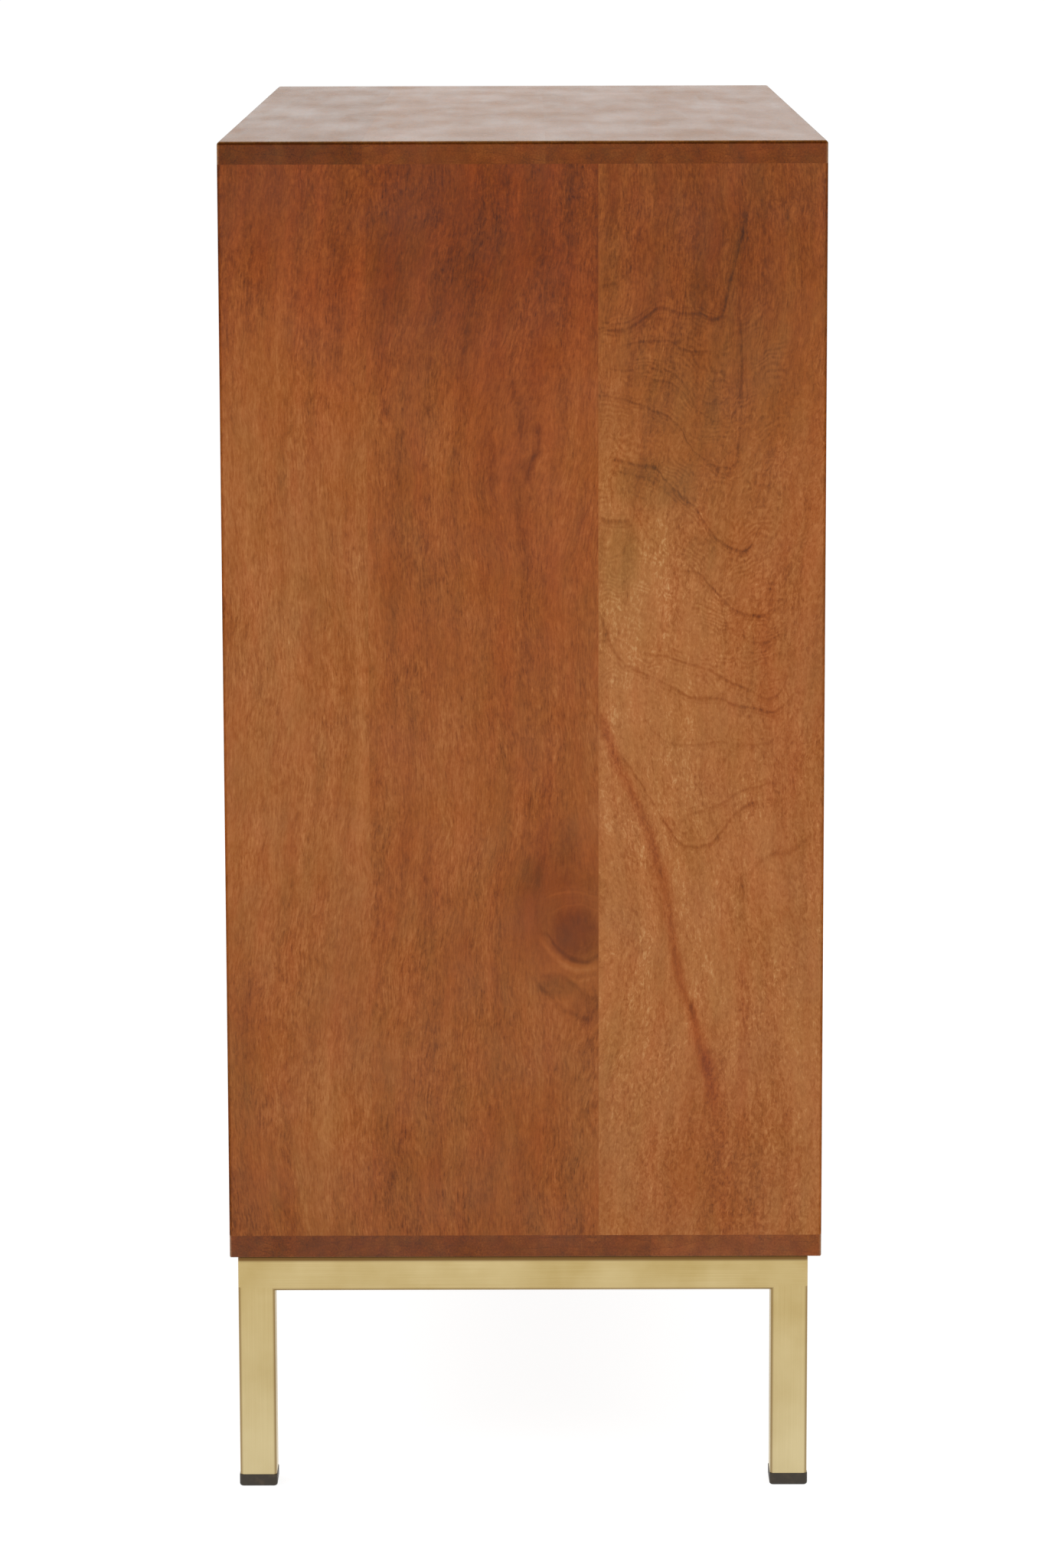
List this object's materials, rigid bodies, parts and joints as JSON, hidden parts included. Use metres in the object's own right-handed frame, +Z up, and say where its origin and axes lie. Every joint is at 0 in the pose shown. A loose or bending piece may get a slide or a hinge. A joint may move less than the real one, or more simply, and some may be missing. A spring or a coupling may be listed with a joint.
{
  "type": "sideboard",
  "caption": "Small wooden sideboard with drawers over cupboard doors and shelves, on a low welded base of square brass-finished tube.",
  "frame": {"origin": "on the floor, at the middle of the overall plan: midway along the length, and midway between the back and the front of the pulls", "axes": "+X along the front to the right, as seen from the front; +Y to the back; +Z up"},
  "size_m": [0.9, 0.41, 0.912],
  "materials": {
    "carcass_wood": "red-brown stained mango wood, satin lacquer",
    "front_wood": "red-brown stained mango wood, satin lacquer",
    "inner_wood": "red-brown stained mango wood, thin lacquer",
    "drawer_wood": "unstained mango wood, oiled",
    "plain_wood": "plain hardwood",
    "plywood": "stained plywood",
    "brass_tube": "satin brass finish on steel tube",
    "brass_fittings": "satin brass",
    "steel_screws": "zinc plated",
    "strike_plates": "zinc plated",
    "foot_caps": "moulded black plastic",
    "catches": "moulded cream plastic"
  },
  "bodies": {
    "carcass": {"front_left_leg": "brass_tube", "front_right_leg": "brass_tube", "back_left_leg": "brass_tube", "back_right_leg": "brass_tube", "front_rail": "brass_tube", "back_rail": "brass_tube", "left_end_rail": "brass_tube", "right_end_rail": "brass_tube", "frame_welds": "brass_tube", "fixing_tabs": "brass_tube", "fixing_screws": "steel_screws", "foot_caps": "foot_caps", "top_board": "carcass_wood", "bottom_board": "carcass_wood", "left_end_board": "carcass_wood", "right_end_board": "carcass_wood", "centre_divider": "inner_wood", "left_deck": "inner_wood", "right_deck": "inner_wood", "back_panel": "plywood", "back_panel_screws": "steel_screws", "carcass_dowels": "plain_wood", "left_shelf": "inner_wood", "right_shelf": "inner_wood", "shelf_supports": "brass_fittings", "drawer_runners": "plain_wood", "drawer_stops": "plain_wood", "cabinet_screws": "steel_screws", "left_door_pivots": "brass_fittings", "right_door_pivots": "brass_fittings", "left_door_catch": "catches", "right_door_catch": "catches"},
    "left_door": {"left_door_panel": "front_wood", "left_door_battens": "inner_wood", "left_door_pull": "brass_fittings", "left_door_sockets": "brass_fittings", "left_door_strike": "strike_plates", "left_door_screws": "steel_screws"},
    "right_door": {"right_door_panel": "front_wood", "right_door_battens": "inner_wood", "right_door_pull": "brass_fittings", "right_door_sockets": "brass_fittings", "right_door_strike": "strike_plates", "right_door_screws": "steel_screws"},
    "left_drawer": {"left_drawer_front": "front_wood", "left_drawer_outer_side": "drawer_wood", "left_drawer_inner_side": "drawer_wood", "left_drawer_back": "drawer_wood", "left_drawer_bottom": "plywood", "left_drawer_pull": "brass_fittings", "left_drawer_screws": "steel_screws"},
    "right_drawer": {"right_drawer_front": "front_wood", "right_drawer_outer_side": "drawer_wood", "right_drawer_inner_side": "drawer_wood", "right_drawer_back": "drawer_wood", "right_drawer_bottom": "plywood", "right_drawer_pull": "brass_fittings", "right_drawer_screws": "steel_screws"}
  },
  "joints": [
    {"name": "left_door_hinge", "type": "hinge", "parent": "carcass", "child": "left_door", "pos_m": [-0.421, -0.188, 0.4595], "axis": [0, 0, -1], "range_deg": [0, 115]},
    {"name": "right_door_hinge", "type": "hinge", "parent": "carcass", "child": "right_door", "pos_m": [0.421, -0.188, 0.4595], "axis": [0, 0, 1], "range_deg": [0, 115]},
    {"name": "left_drawer_slide", "type": "slide", "parent": "carcass", "child": "left_drawer", "axis": [0, -1, 0], "range_m": [0, 0.264]},
    {"name": "right_drawer_slide", "type": "slide", "parent": "carcass", "child": "right_drawer", "axis": [0, -1, 0], "range_m": [0, 0.264]}
  ]
}
